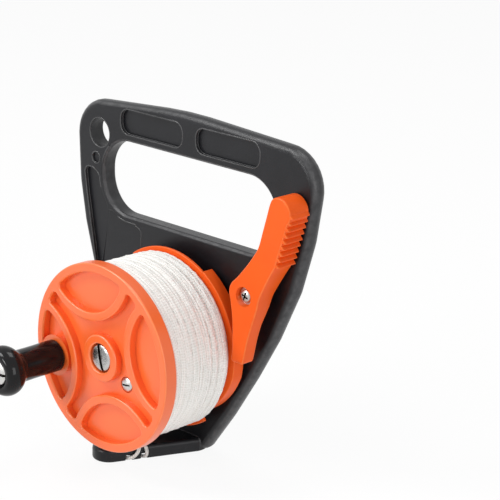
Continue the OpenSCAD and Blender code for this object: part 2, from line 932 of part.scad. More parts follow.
// the thumb side is stepped so that a wet glove grips it
module thumb_rib_row() {
    along = unit(rib_top - rib_foot);
    pitch = norm(rib_top - rib_foot) / (thumb_ribs - 1);
    for (i = [0 : thumb_ribs - 1])
        translate(rib_top - along * (i * pitch))
            rotate(atan2(along[1], along[0]))
                polygon([[0, 0], [0.1 * pitch, rib_depth + sink], [0.95 * pitch, rib_depth + sink],
                    [0.95 * pitch, rib_depth - 0.3], [0.15 * pitch, 0]]);
}

module thumb_lever() {
    color(orange)
        at_pivot()
            difference() {
                union() {
                    intersection() {
                        slab(y_lever, y_thumb)
                            lever_outline();
                        lever_depth();
                    }
                    slab(y_lever + rib_in, y_thumb - rib_in)
                        thumb_rib_row();
                }
                rod(spring_room, y_lever_back, past);
                rod(lever_bush_d / 2 + run_gap, y_lever - past, past);
                rod(counterbore_r, y_lever - past, y_counterbore);
                translate([0, 0, -axis_h - lever_z])
                    translate([-lever_x, 0, 0])
                        translate(spring_route[len(spring_route) - 1])
                            rod(tang_hole_r, -0.6, tang_l + past);
            }
}

module lever_bush() {
    color(brass)
        at_pivot()
            ring(lever_bush_d / 2, lever_shank_r + sleeve_play, y_counterbore - lever_gap, -lever_boss_h);
}

module lever_washer() {
    color(steel)
        at_pivot()
            ring(lever_washer_r, lever_shank_r + sleeve_play, y_counterbore - lever_gap - lever_washer_t,
                y_counterbore - lever_gap);
}

module lever_screw() {
    y_head = y_counterbore - lever_gap - lever_washer_t;
    color(steel)
        at_pivot()
            difference() {
                union() {
                    rod(lever_head_r, y_head - lever_head_t, y_head);
                    rod(lever_shank_r, y_head - sink, lever_shank_l - lever_boss_h - counterbore - 1);
                }
                for (turn = [0, 90])
                    rotate([0, lever_cross_turn + turn, 0])
                        translate([-lever_cross[0] / 2, y_head - lever_head_t - past, -lever_cross[2] / 2])
                            cube([lever_cross[0], past + lever_cross[1], lever_cross[2]]);
            }
}

module lever_spring() {
    color(steel)
        tube(spring_route, spring_wire, 6, [1, 0, 0]);
}

// line

module line_core() {
    color(white)
        at_axis()
            ring(core_r, drum_d / 2 + seat, y_web + seat, y_rear_front - seat);
}

module line_winding() {
    color(white)
        tube(winding_route, line_d, 6, [1, 0, 0]);
}

module line_lead() {
    color(white)
        tube(lead_route, lead_d, 8, [0, 1, 0]);
}

module line_knot() {
    last = len(lead_route) - 1;
    away = unit(lead_route[last] - lead_route[last - 1]);
    spot = lead_route[last] + away * knot_r;
    color(white)
        translate([spot[0], spot[1], knot_r + 0.1])
            sphere(knot_r);
}

frame();
axle();
axle_washer();
axle_nut();
thrust_washer();
centre_screw();
front_washer();
spool_body();
rear_bush();
front_flange();
front_bush();
flange_screw();
knob_grip();
knob_screw();
knob_washer();
knob_nut();
thumb_lever();
lever_bush();
lever_washer();
lever_screw();
lever_spring();
line_core();
line_winding();
line_lead();
line_knot();
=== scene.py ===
import bpy
import json
from math import atan2, ceil, cos, sin, pi, radians
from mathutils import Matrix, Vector, noise


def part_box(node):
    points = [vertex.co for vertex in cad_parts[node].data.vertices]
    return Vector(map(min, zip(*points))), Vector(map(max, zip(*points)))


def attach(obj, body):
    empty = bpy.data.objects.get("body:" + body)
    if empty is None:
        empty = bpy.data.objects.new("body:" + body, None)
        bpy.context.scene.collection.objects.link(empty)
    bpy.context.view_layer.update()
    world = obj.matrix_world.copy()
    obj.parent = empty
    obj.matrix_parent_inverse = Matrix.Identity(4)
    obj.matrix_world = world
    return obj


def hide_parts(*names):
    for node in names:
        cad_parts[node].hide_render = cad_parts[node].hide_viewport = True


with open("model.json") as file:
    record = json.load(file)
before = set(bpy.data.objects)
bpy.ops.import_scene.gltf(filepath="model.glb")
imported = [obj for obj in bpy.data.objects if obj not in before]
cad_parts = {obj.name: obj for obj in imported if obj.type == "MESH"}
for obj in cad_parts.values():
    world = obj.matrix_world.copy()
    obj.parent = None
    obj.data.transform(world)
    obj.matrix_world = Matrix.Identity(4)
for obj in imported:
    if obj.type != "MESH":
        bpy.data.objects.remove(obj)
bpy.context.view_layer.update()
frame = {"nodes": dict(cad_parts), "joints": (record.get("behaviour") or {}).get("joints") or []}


# The frame: one black moulding in glass-filled nylon, with the hand opening, the clip hole and
# the tongue that the reel stands on. It comes from the mould with its edges rounded over and a fine
# spark-eroded grain on every face; its rounded edges are painted lighter, as a painted highlight.

def deselect():
    if bpy.context.object and bpy.context.object.mode != "OBJECT":
        bpy.ops.object.mode_set(mode="OBJECT")
    bpy.ops.object.select_all(action="DESELECT")


def take_up(piece):
    deselect()
    piece.select_set(True)
    bpy.context.view_layer.objects.active = piece


def edit_all(piece):
    take_up(piece)
    bpy.ops.object.mode_set(mode="EDIT")
    bpy.ops.mesh.select_all(action="SELECT")


def join(whole, *others):
    take_up(whole)
    for piece in others:
        piece.select_set(True)
    bpy.ops.object.join()


# a solid's own shape as a new mesh, with its loose triangles merged back into flat faces
def moulded_copy(node, name, merge=2e-6, flat=0.4):
    source = frame["nodes"][node]
    piece = bpy.data.objects.new(name, source.data.copy())
    bpy.context.scene.collection.objects.link(piece)
    piece.data.materials.clear()
    edit_all(piece)
    bpy.ops.mesh.remove_doubles(threshold=merge)
    bpy.ops.mesh.dissolve_limited(angle_limit=radians(flat))
    bpy.ops.object.mode_set(mode="OBJECT")
    return piece


# edges that turn by more than this many degrees are taken as sharp, and get the mould's round
CREASE = 38


def round_over(piece, edge, steps, sharp=CREASE):
    take_up(piece)
    soften = piece.modifiers.new("edge", "BEVEL")
    soften.width = edge
    soften.segments = steps
    soften.limit_method = "ANGLE"
    soften.angle_limit = radians(sharp)
    soften.miter_outer = "MITER_ARC"
    soften.use_clamp_overlap = False
    bpy.ops.object.modifier_apply(modifier="edge")
    even_shading(piece, sharp)


# leaves edit mode on, with only the sharp edges selected whose two ends are both wanted
def pick_sharp(piece, wanted, sharp=CREASE):
    take_up(piece)
    mesh = piece.data
    bpy.ops.object.mode_set(mode="EDIT")
    bpy.ops.mesh.select_mode(type="EDGE")
    bpy.ops.mesh.select_all(action="DESELECT")
    bpy.ops.mesh.edges_select_sharp(sharpness=radians(sharp))
    bpy.ops.object.mode_set(mode="OBJECT")
    picked = [edge.index for edge in mesh.edges
              if edge.select and all(wanted(mesh.vertices[i].co) for i in edge.vertices)]
    bpy.ops.object.mode_set(mode="EDIT")
    bpy.ops.mesh.select_all(action="DESELECT")
    bpy.ops.object.mode_set(mode="OBJECT")
    for i in picked:
        mesh.edges[i].select = True
    bpy.ops.object.mode_set(mode="EDIT")


def even_shading(piece, sharp):
    take_up(piece)
    bpy.ops.object.shade_smooth_by_angle(angle=radians(sharp))
    weigh = piece.modifiers.new("normals", "WEIGHTED_NORMAL")
    weigh.keep_sharp = True
    bpy.ops.object.modifier_apply(modifier="normals")


# a curve with thickness, such as a bead, wire or cord, made a mesh that is smooth all round
ROUND_STOCK = 60


def made_solid(curve):
    take_up(curve)
    bpy.ops.object.convert(target="MESH")
    bpy.ops.object.shade_smooth_by_angle(angle=radians(ROUND_STOCK))


def node_group(name, inputs, outputs):
    group = bpy.data.node_groups.new(name, "ShaderNodeTree")
    for label, kind, value in inputs:
        socket = group.interface.new_socket(label, in_out="INPUT", socket_type=kind)
        socket.default_value = value
    for label, kind in outputs:
        group.interface.new_socket(label, in_out="OUTPUT", socket_type=kind)
    return group, group.nodes.new("NodeGroupInput"), group.nodes.new("NodeGroupOutput")


def add(tree, kind, **settings):
    made = tree.nodes.new(kind)
    for key, value in settings.items():
        setattr(made, key, value)
    return made


# grain of moulded plastic: a fine pitted bump, slow shade drift and uneven gloss
grain, given, put = node_group(
    "moulded_grain",
    [("Colour", "NodeSocketColor", (0.5, 0.5, 0.5, 1)), ("Roughness", "NodeSocketFloat", 0.4),
     ("Drift", "NodeSocketFloat", 0.1), ("Grain Scale", "NodeSocketFloat", 2500)],
    [("Colour", "NodeSocketColor"), ("Roughness", "NodeSocketFloat"), ("Height", "NodeSocketFloat")])
place = add(grain, "ShaderNodeTexCoord")
pits = add(grain, "ShaderNodeTexNoise")
pits.inputs["Detail"].default_value = 3
cloud = add(grain, "ShaderNodeTexNoise")
cloud.inputs["Scale"].default_value = 45
cloud.inputs["Detail"].default_value = 4
rubbed = add(grain, "ShaderNodeMapRange")
rubbed.inputs["From Min"].default_value = 0.3
rubbed.inputs["From Max"].default_value = 0.7
rubbed.inputs["To Min"].default_value = -0.5
rubbed.inputs["To Max"].default_value = 0.5
lighter = add(grain, "ShaderNodeMath", operation="MULTIPLY_ADD")
lighter.inputs[2].default_value = 1
tint = add(grain, "ShaderNodeMix", data_type="RGBA", blend_type="MULTIPLY")
tint.inputs["Factor"].default_value = 1
gloss = add(grain, "ShaderNodeMath", operation="MULTIPLY_ADD")
gloss.inputs[1].default_value = 0.05
link = grain.links.new
link(place.outputs["Object"], pits.inputs["Vector"])
link(given.outputs["Grain Scale"], pits.inputs["Scale"])
link(place.outputs["Object"], cloud.inputs["Vector"])
link(cloud.outputs["Fac"], rubbed.inputs["Value"])
link(rubbed.outputs["Result"], lighter.inputs[0])
link(given.outputs["Drift"], lighter.inputs[1])
link(given.outputs["Colour"], tint.inputs["A"])
link(lighter.outputs["Value"], tint.inputs["B"])
link(rubbed.outputs["Result"], gloss.inputs[0])
link(given.outputs["Roughness"], gloss.inputs[2])
link(tint.outputs["Result"], put.inputs["Colour"])
link(gloss.outputs["Value"], put.inputs["Roughness"])
link(pits.outputs["Fac"], put.inputs["Height"])


# painted highlight: a mask of the rounds between the flats that face along Y and the walls beside them,
# where a lighter colour is painted as a highlight
painted_edge_highlight, given, put = node_group(
    "painted_edge_highlight",
    [("Wall", "NodeSocketFloat", 0.3), ("Amount", "NodeSocketFloat", 0.5),
     ("From Y", "NodeSocketFloat", -1)],
    [("Mask", "NodeSocketFloat")])
place = add(painted_edge_highlight, "ShaderNodeTexCoord")
facing = add(painted_edge_highlight, "ShaderNodeSeparateXYZ")
flat = add(painted_edge_highlight, "ShaderNodeMath", operation="ABSOLUTE")
off_flat = add(painted_edge_highlight, "ShaderNodeMapRange", interpolation_type="SMOOTHSTEP")
off_flat.inputs["From Min"].default_value = 0.98
off_flat.inputs["From Max"].default_value = 0.7
off_wall = add(painted_edge_highlight, "ShaderNodeMapRange", interpolation_type="SMOOTHSTEP")
off_wall.inputs["From Max"].default_value = 0.6
level_top = add(painted_edge_highlight, "ShaderNodeMapRange", interpolation_type="SMOOTHSTEP")
level_top.inputs["From Min"].default_value = 0.95
level_top.inputs["From Max"].default_value = 0.7
patchy = add(painted_edge_highlight, "ShaderNodeTexNoise")
patchy.inputs["Scale"].default_value = 260
patchy.inputs["Detail"].default_value = 5
highlight_patches = add(painted_edge_highlight, "ShaderNodeMapRange")
highlight_patches.inputs["From Min"].default_value = 0.05
highlight_patches.inputs["From Max"].default_value = 0.6
spot = add(painted_edge_highlight, "ShaderNodeSeparateXYZ")
reached = add(painted_edge_highlight, "ShaderNodeMath", operation="GREATER_THAN")
link = painted_edge_highlight.links.new
link(place.outputs["Normal"], facing.inputs["Vector"])
link(facing.outputs["Y"], flat.inputs[0])
link(flat.outputs["Value"], off_flat.inputs["Value"])
link(flat.outputs["Value"], off_wall.inputs["Value"])
link(given.outputs["Wall"], off_wall.inputs["From Min"])
link(facing.outputs["Z"], level_top.inputs["Value"])
link(place.outputs["Object"], patchy.inputs["Vector"])
link(patchy.outputs["Fac"], highlight_patches.inputs["Value"])
link(place.outputs["Object"], spot.inputs["Vector"])
link(spot.outputs["Y"], reached.inputs[0])
link(given.outputs["From Y"], reached.inputs[1])
mask = off_flat.outputs["Result"]
for limit in (off_wall.outputs["Result"], level_top.outputs["Result"], highlight_patches.outputs["Result"],
              given.outputs["Amount"], reached.outputs["Value"]):
    within = add(painted_edge_highlight, "ShaderNodeMath", operation="MULTIPLY")
    link(mask, within.inputs[0])
    link(limit, within.inputs[1])
    mask = within.outputs["Value"]
link(mask, put.inputs["Mask"])


# lays a lighter colour over a material on its rounded edges, as a painted highlight
def paint_edge_highlight(material, highlight_colour, wall, amount, from_y=-1):
    tree = material.node_tree
    shader = tree.nodes["Principled BSDF"]
    edges = add(tree, "ShaderNodeGroup", node_tree=painted_edge_highlight)
    edges.inputs["Wall"].default_value = wall
    edges.inputs["Amount"].default_value = amount
    edges.inputs["From Y"].default_value = from_y
    highlight_mix = add(tree, "ShaderNodeMix", data_type="RGBA")
    highlight_mix.inputs["B"].default_value = (*highlight_colour, 1)
    tree.links.new(edges.outputs["Mask"], highlight_mix.inputs["Factor"])
    tree.links.new(shader.inputs["Base Color"].links[0].from_socket, highlight_mix.inputs["A"])
    tree.links.new(highlight_mix.outputs["Result"], shader.inputs["Base Color"])


def new_material(name):
    made = bpy.data.materials.new(name)
    made.use_nodes = True
    return made, made.node_tree, made.node_tree.nodes["Principled BSDF"]


# a material that takes its colour, gloss and relief from a group
def finish_from(group, name, values, depth):
    made, tree, shader = new_material(name)
    surface = add(tree, "ShaderNodeGroup", node_tree=group)
    for label, value in values.items():
        surface.inputs[label].default_value = value
    bump = add(tree, "ShaderNodeBump")
    bump.inputs["Distance"].default_value = depth
    tree.links.new(surface.outputs["Colour"], shader.inputs["Base Color"])
    tree.links.new(surface.outputs["Roughness"], shader.inputs["Roughness"])
    tree.links.new(surface.outputs["Height"], bump.inputs["Height"])
    tree.links.new(bump.outputs["Normal"], shader.inputs["Normal"])
    return made, shader


def plastic(name, colour, roughness, drift, grain_scale, depth, level=0.5):
    values = {"Colour": (*colour, 1), "Roughness": roughness, "Drift": drift, "Grain Scale": grain_scale}
    made, shader = finish_from(grain, name, values, depth)
    shader.inputs["Specular IOR Level"].default_value = level
    return made


# the panels, the strut recess, the small dimple and the clip hole have a thin raised lip
LIP_R, LIP_SUNK, FRONT_FACE_Y = 0.00045, 0.00022, 0.0005
BAR_FOOT_Z, BAR_END_X = 0.1703, -0.0508
STRUT_FOOT_Z, STRUT_BEND_Z, STRUT_TOP_Z = 0.076, 0.122, 0.1472
STRUT_SIDE_X, STRUT_FOOT_X = -0.0667, -0.033
CLIP_HOLE_X, CLIP_HOLE_Z = -0.0585, 0.149


def on_lip(at):
    bar = at.z > BAR_FOOT_Z and at.x > BAR_END_X
    strut_foot = at.z < STRUT_BEND_Z and at.x < STRUT_FOOT_X
    strut = STRUT_FOOT_Z < at.z < STRUT_TOP_Z and (at.x < STRUT_SIDE_X or strut_foot)
    hole = at.x < CLIP_HOLE_X and at.z > CLIP_HOLE_Z
    return at.y <= FRONT_FACE_Y and (bar or strut or hole)


# the foot of the plate, where it runs into the tongue, keeps the edges that its mould gave it
FOOT_Z, FOOT_Y, PLATE_EDGE = 0.0045, 0.003, 0.0005


def clear_of_foot(at):
    return at.z > FOOT_Z or at.y < FOOT_Y


black_nylon = plastic("black_nylon", (0.0078, 0.0080, 0.0100), roughness=0.32, drift=0.5,
                      grain_scale=2200, depth=0.00010, level=0.30)
# the plate's rounded edges are painted lighter, in patches: a painted highlight
paint_edge_highlight(black_nylon, (0.085, 0.085, 0.088), wall=-0.6, amount=0.8, from_y=-0.0008)
# the lips are a lighter nylon than the plate: a painted highlight along the rims of the recesses
lip_highlight_nylon = plastic("lip_highlight_nylon", (0.040, 0.040, 0.042), roughness=0.26, drift=0.9,
                       grain_scale=2200, depth=0.00005)
frame_moulding = moulded_copy("frame", "frame_moulding", merge=1e-5)
pick_sharp(frame_moulding, on_lip)
bpy.ops.mesh.duplicate()
bpy.ops.transform.translate(value=(0, LIP_SUNK, 0))
bpy.ops.mesh.separate(type="SELECTED")
bpy.ops.mesh.select_mode(type="VERT")
bpy.ops.object.mode_set(mode="OBJECT")
lips = [piece for piece in bpy.context.selected_objects if piece != frame_moulding][0]
take_up(lips)
bpy.ops.object.convert(target="CURVE")
lips.data.bevel_depth = LIP_R
lips.data.bevel_resolution = 2
made_solid(lips)
lips.data.materials.append(lip_highlight_nylon)
pick_sharp(frame_moulding, clear_of_foot)
bpy.ops.mesh.bevel(offset=PLATE_EDGE, segments=3, miter_outer="ARC", clamp_overlap=False)
bpy.ops.mesh.select_mode(type="VERT")
bpy.ops.object.mode_set(mode="OBJECT")
even_shading(frame_moulding, CREASE)
frame_moulding.data.materials.append(black_nylon)
join(frame_moulding, lips)
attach(frame_moulding, "frame_set")
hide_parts("frame")


# The axle and its fastenings: a turned steel spindle with a collar, held by a nut in the back of
# the plate, nylon bushes and thrust washer, and a big slotted screw that keeps the spool on.

turned, given, put = node_group(
    "turned_metal",
    [("Colour", "NodeSocketColor", (0.6, 0.6, 0.6, 1)), ("Centre", "NodeSocketVector", (0, 0, 0)),
     ("Roughness", "NodeSocketFloat", 0.25)],
    [("Colour", "NodeSocketColor"), ("Roughness", "NodeSocketFloat"), ("Height", "NodeSocketFloat")])
place = add(turned, "ShaderNodeTexCoord")
shift = add(turned, "ShaderNodeVectorMath", operation="SUBTRACT")
rings = add(turned, "ShaderNodeTexWave", wave_type="RINGS", rings_direction="Y")
rings.inputs["Scale"].default_value = 900
rings.inputs["Distortion"].default_value = 2
rings.inputs["Detail"].default_value = 2
smudge = add(turned, "ShaderNodeTexNoise")
smudge.inputs["Scale"].default_value = 350
smudge.inputs["Detail"].default_value = 4
dull = add(turned, "ShaderNodeMath", operation="MULTIPLY_ADD")
dull.inputs[1].default_value = 0.22
shade = add(turned, "ShaderNodeMix", data_type="RGBA", blend_type="MULTIPLY")
shade.inputs["Factor"].default_value = 0.35
link = turned.links.new
link(place.outputs["Object"], shift.inputs[0])
link(given.outputs["Centre"], shift.inputs[1])
link(shift.outputs["Vector"], rings.inputs["Vector"])
link(place.outputs["Object"], smudge.inputs["Vector"])
link(smudge.outputs["Fac"], dull.inputs[0])
link(given.outputs["Roughness"], dull.inputs[2])
link(given.outputs["Colour"], shade.inputs["A"])
link(smudge.outputs["Fac"], shade.inputs["B"])
link(shade.outputs["Result"], put.inputs["Colour"])
link(dull.outputs["Value"], put.inputs["Roughness"])
link(rings.outputs["Fac"], put.inputs["Height"])


def metal(name, colour, centre, roughness, depth=0.00002):
    values = {"Colour": (*colour, 1), "Centre": centre, "Roughness": roughness}
    made, shader = finish_from(turned, name, values, depth)
    shader.inputs["Metallic"].default_value = 1
    return made


# a finish on a solid that keeps its own shape
def dress(node, material):
    holder = frame["nodes"][node]
    if not holder.material_slots:
        holder.data.materials.append(material)
    for slot in holder.material_slots:
        slot.material = material


# where a joint turns: each one here has its axis along Y
def axis_of(joint):
    x, _, z = next(row["pos_m"] for row in frame["joints"] if row["name"] == joint)
    return Vector((x, 0, z))


AXIS = axis_of("spool_spin")
spindle_steel = metal("spindle_steel", (0.66, 0.65, 0.64), AXIS, roughness=0.22)
natural_nylon = plastic("natural_nylon", (0.72, 0.70, 0.62), roughness=0.42, drift=0.12,
                        grain_scale=1800, depth=0.00005)
for node in ("axle", "axle_washer", "axle_nut", "front_washer"):
    dress(node, spindle_steel)
for node in ("thrust_washer", "front_bush", "rear_bush"):
    dress(node, natural_nylon)


# a closed outline, drawn by moving the points of a ring
def drawn(name, points, fill):
    deselect()
    bpy.ops.mesh.primitive_circle_add(vertices=len(points), radius=0.01, fill_type=fill)
    piece = bpy.context.object
    piece.name = name
    for vertex, at in zip(piece.data.vertices, points):
        vertex.co = at
    return piece


# where a solid starts and ends along Y, its front first
def stations(node):
    low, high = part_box(node)
    return low[1], high[1]


# a piece turned in the lathe: its outline, each radius and depth behind the front, spun round an axis
def turned_piece(name, centre, front, outline, steps=96):
    piece = drawn(name, [(centre.x + r, front + depth, centre.z) for r, depth in outline], "NOTHING")
    edit_all(piece)
    bpy.ops.mesh.spin(steps=steps, angle=2 * pi, center=centre, axis=(0, 1, 0))
    bpy.ops.mesh.select_all(action="SELECT")
    bpy.ops.mesh.remove_doubles(threshold=1e-6)
    bpy.ops.mesh.delete_loose(use_verts=True, use_edges=True, use_faces=False)
    bpy.ops.mesh.select_all(action="SELECT")
    bpy.ops.mesh.normals_make_consistent(inside=False)
    bpy.ops.object.mode_set(mode="OBJECT")
    return piece


def cut_away(piece, cutter, material_mode):
    bpy.ops.object.transform_apply(location=True, rotation=True, scale=True)
    take_up(piece)
    cut = piece.modifiers.new("cut", "BOOLEAN")
    cut.operation = "DIFFERENCE"
    cut.solver = "EXACT"
    cut.material_mode = material_mode
    cut.object = cutter
    bpy.ops.object.modifier_apply(modifier="cut")
    bpy.data.objects.remove(cutter)


# a slot milled across a head, from its front down to a depth; its faces are dull steel painted dark, as
# painted shade in the slot
slot_painted_shade_steel = metal("slot_painted_shade_steel", (0.055, 0.05, 0.045), AXIS, roughness=0.45)
CUTTER = 0.004


def mill_slot(piece, centre, front, wide, long, depth, turn):
    deselect()
    bpy.ops.mesh.primitive_cube_add(
        size=1, location=(centre.x, front + depth - CUTTER / 2, centre.z), rotation=(0, radians(turn), 0),
        scale=(wide, CUTTER, long))
    cutter = bpy.context.object
    cutter.data.materials.append(slot_painted_shade_steel)
    cut_away(piece, cutter, "TRANSFER")


SCREW_FRONT = stations("centre_screw")[0]
centre_screw = turned_piece("centre_screw_turned", AXIS, SCREW_FRONT, [
    (0, 0), (0.0030, 0.00005), (0.0052, 0.00020), (0.0066, 0.00045), (0.0072, 0.00075),
    (0.0075, 0.00130), (0.0075, 0.00260), (0.0025, 0.00260), (0.0025, 0.01470), (0, 0.01530)])
centre_screw.data.materials.append(metal("slotted_steel", (0.66, 0.655, 0.645), AXIS, roughness=0.10))
mill_slot(centre_screw, AXIS, SCREW_FRONT, wide=0.0019, long=0.02, depth=0.0016, turn=-14)
round_over(centre_screw, edge=0.00012, steps=2, sharp=50)
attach(centre_screw, "frame_set")
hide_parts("centre_screw")


# The spool body and the front flange: two orange mouldings, a drum with the ratchet rim at its back
# and the ribbed face that screws on to its open end. The face is smoother and glossier than the frame.

orange_moulding = plastic("orange_moulding", (0.86, 0.108, 0.010), roughness=0.34, drift=0.10,
                          grain_scale=1500, depth=0.00003, level=0.16)
# the face's orange is a paler, yellower copy of the drum's and lever's orange: painted light, as both are
# the same plastic
lit_orange_face = plastic("lit_orange_face", (0.88, 0.142, 0.024), roughness=0.32, drift=0.05,
                      grain_scale=1500, depth=0.00003, level=0.75)
# the rounded edges of both oranges are painted lighter: a painted highlight
paint_edge_highlight(orange_moulding, (0.92, 0.24, 0.07), wall=0.2, amount=0.6)
paint_edge_highlight(lit_orange_face, (0.95, 0.27, 0.08), wall=0.2, amount=0.6)
spool_moulding = moulded_copy("spool_body", "spool_moulding", merge=1e-5)
round_over(spool_moulding, edge=0.0006, steps=3)
spool_moulding.data.materials.append(orange_moulding)
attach(spool_moulding, "spool_set")
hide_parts("spool_body")


# the face is drawn flat, as loops round its recesses, and pushed out to the depth of the rim;
# this is where two circles meet, on the left or the right of the line between their centres
def meet(one, r_one, two, r_two, side):
    apart = two - one
    d = apart.length
    along = (r_one ** 2 - r_two ** 2 + d * d) / (2 * d)
    off = (r_one ** 2 - along ** 2) ** 0.5
    way = apart / d
    return one + way * along + Vector((-way.y, way.x)) * off * side


def angle_of(v):
    return atan2(v.y, v.x)


ARC_STEP, FULL_TURN = 0.0011, 2 * pi - 1e-6


def sweep(centre, r, start, end, way):
    turn = (way * (end - start)) % (2 * pi)
    steps = max(3, ceil(turn * r / ARC_STEP))
    angles = [start + way * turn * i / steps for i in range(steps)]
    return [centre + Vector((cos(angle), sin(angle))) * r for angle in angles]


def ring_loop(centre, r, way):
    return sweep(centre, r, 0, way * FULL_TURN, way)


# the recesses lie inside the rim: one lens beyond each of the four arc ribs and a star between them
HUB = Vector((0, 0))
RIM_IN, ARC_AT, ARC_R, ARC_OUT, CORNER = 0.047, 0.0555, 0.0305, 0.0353, 0.0022


def lens(turn):
    far = Vector((cos(turn), sin(turn))) * ARC_AT
    up = meet(HUB, RIM_IN - CORNER, far, ARC_R - CORNER, 1)
    down = meet(HUB, RIM_IN - CORNER, far, ARC_R - CORNER, -1)
    return (sweep(HUB, RIM_IN, angle_of(down), angle_of(up), 1)
            + sweep(up, CORNER, angle_of(up), angle_of(up - far), 1)
            + sweep(far, ARC_R, angle_of(up - far), angle_of(down - far), 1)
            + sweep(down, CORNER, angle_of(down - far), angle_of(down), 1))


def star(turn):
    loop = []
    for k in range(4):
        far = Vector((cos(turn + k * pi / 2), sin(turn + k * pi / 2))) * ARC_AT
        down = meet(HUB, RIM_IN - CORNER, far, ARC_OUT + CORNER, -1)
        up = meet(HUB, RIM_IN - CORNER, far, ARC_OUT + CORNER, 1)
        after = meet(HUB, RIM_IN - CORNER, Vector((-far.y, far.x)), ARC_OUT + CORNER, -1)
        loop += (sweep(down, CORNER, angle_of(down), angle_of(far - down), 1)
                 + sweep(far, ARC_OUT, angle_of(down - far), angle_of(up - far), -1)
                 + sweep(up, CORNER, angle_of(far - up), angle_of(up), 1)
                 + sweep(HUB, RIM_IN, angle_of(up), angle_of(after), 1))
    return loop


# a flat drawing given its depth, with every edge rounded over
def moulded_plate(name, centre, loops, front, back, edge, steps, sharp=40):
    deselect()
    drawing = bpy.data.curves.new(name, "CURVE")
    drawing.dimensions = "2D"
    drawing.fill_mode = "BOTH"
    drawing.extrude = (back - front) / 2 - edge
    drawing.bevel_depth = edge
    drawing.bevel_resolution = steps
    drawing.offset = -edge
    for loop in loops:
        ring = drawing.splines.new("POLY")
        ring.points.add(len(loop) - 1)
        for spot, at in zip(ring.points, loop):
            spot.co = (at.x, at.y, 0, 1)
        ring.use_cyclic_u = True
    piece = bpy.data.objects.new(name, drawing)
    bpy.context.scene.collection.objects.link(piece)
    take_up(piece)
    bpy.ops.object.convert(target="MESH")
    piece.location = (centre.x, (front + back) / 2, centre.z)
    piece.rotation_euler = (pi / 2, 0, 0)
    bpy.ops.object.transform_apply(location=True, rotation=True, scale=True)
    edit_all(piece)
    bpy.ops.mesh.remove_doubles(threshold=1e-6)
    bpy.ops.mesh.normals_make_consistent(inside=False)
    bpy.ops.object.mode_set(mode="OBJECT")
    even_shading(piece, sharp)
    return piece


# a round hole sunk from the front, between two stations
def bore(piece, centre, r, front, back):
    deselect()
    bpy.ops.mesh.primitive_cylinder_add(
        vertices=64, radius=r, depth=back - front, location=(centre.x, (front + back) / 2, centre.z),
        rotation=(pi / 2, 0, 0))
    cut_away(piece, bpy.context.object, "INDEX")


TURN = radians(12.5)
FACE_FRONT, FACE_BACK = stations("front_flange")[0], -0.0520
RIM_R, HUB_R, HUB_HOLE_R = 0.052, 0.0131, 0.0082
CRANK_AT, CRANK_BOSS_R, CRANK_HOLE_R = 0.0375, 0.0104, 0.0045
recesses = [lens(TURN + k * pi / 2) for k in range(4)] + [star(TURN)]
crank_boss = Vector((cos(TURN + pi), sin(TURN + pi))) * CRANK_AT
flange_loops = [ring_loop(HUB, RIM_R, 1)] + [loop[::-1] for loop in recesses]
flange_loops += [ring_loop(HUB, HUB_R, 1), ring_loop(HUB, HUB_HOLE_R, -1),
                 ring_loop(crank_boss, CRANK_BOSS_R, 1), ring_loop(crank_boss, CRANK_HOLE_R, -1)]
flange_moulding = moulded_plate("flange_moulding", AXIS, flange_loops, FACE_FRONT, FACE_BACK,
                                edge=0.0011, steps=4)

# the web closes the recesses at their floor, with a counterbore for the small screw
WEB_R, WEB_HOLE_R = 0.0495, 0.00765
SMALL = Vector((0.01683, 0, 0.05515))
web = moulded_plate("flange_web", AXIS, [ring_loop(HUB, WEB_R, 1), ring_loop(HUB, WEB_HOLE_R, -1)],
                    front=-0.0556, back=-0.0522, edge=0.0002, steps=1)
bore(web, SMALL, r=0.0045, front=-0.0570, back=-0.0546)

# behind the web the solid's own bosses stay; their disc ends inside the rim, whose rounded edge shows
BACK_Y, BACK_R = -0.0525, 0.0500
flange_back = moulded_copy("front_flange", "flange_back")
round_over(flange_back, edge=0.0002, steps=1)
edit_all(flange_back)
bpy.ops.mesh.bisect(plane_co=(0, BACK_Y, 0), plane_no=(0, 1, 0), clear_inner=True, use_fill=True)
bpy.ops.mesh.select_all(action="SELECT")
bpy.ops.mesh.quads_convert_to_tris()
bpy.ops.object.mode_set(mode="OBJECT")
for vertex in flange_back.data.vertices:
    out = Vector((vertex.co.x - AXIS.x, 0, vertex.co.z - AXIS.z))
    vertex.co -= out * max(0, 1 - BACK_R / max(out.length, 1e-6))
bpy.ops.mesh.customdata_custom_splitnormals_clear()
even_shading(flange_back, CREASE)
join(flange_moulding, web, flange_back)
flange_moulding.data.materials.append(lit_orange_face)
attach(flange_moulding, "spool_set")
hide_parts("front_flange")

SMALL_FRONT = -0.0564
flange_screw = turned_piece("flange_screw_head", SMALL, SMALL_FRONT, [
    (0, 0), (0.0018, 0.00006), (0.0030, 0.00028), (0.0037, 0.00065), (0.0040, 0.00110),
    (0.0040, 0.00180), (0.0017, 0.00180), (0.0017, 0.01680), (0, 0.01730)], steps=48)
flange_screw.data.materials.append(metal("small_screw_steel", (0.80, 0.79, 0.77), SMALL, roughness=0.16))
mill_slot(flange_screw, SMALL, SMALL_FRONT, wide=0.0009, long=0.0056, depth=0.0010, turn=84)
round_over(flange_screw, edge=0.00008, steps=2, sharp=50)
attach(flange_screw, "spool_set")
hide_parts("flange_screw")


# The crank knob: a glossy black moulding, a plain grip with a round end, free to turn on a steel
# shoulder screw whose slotted head shows in the end. The screw runs into a nut behind the flange.

CRANK = axis_of("knob_spin")
KNOB_FOOT = stations("knob_grip")[1]
KNOB_R, KNOB_WIDEST, KNOB_ROUND = 0.0138, 0.0345, 0.010
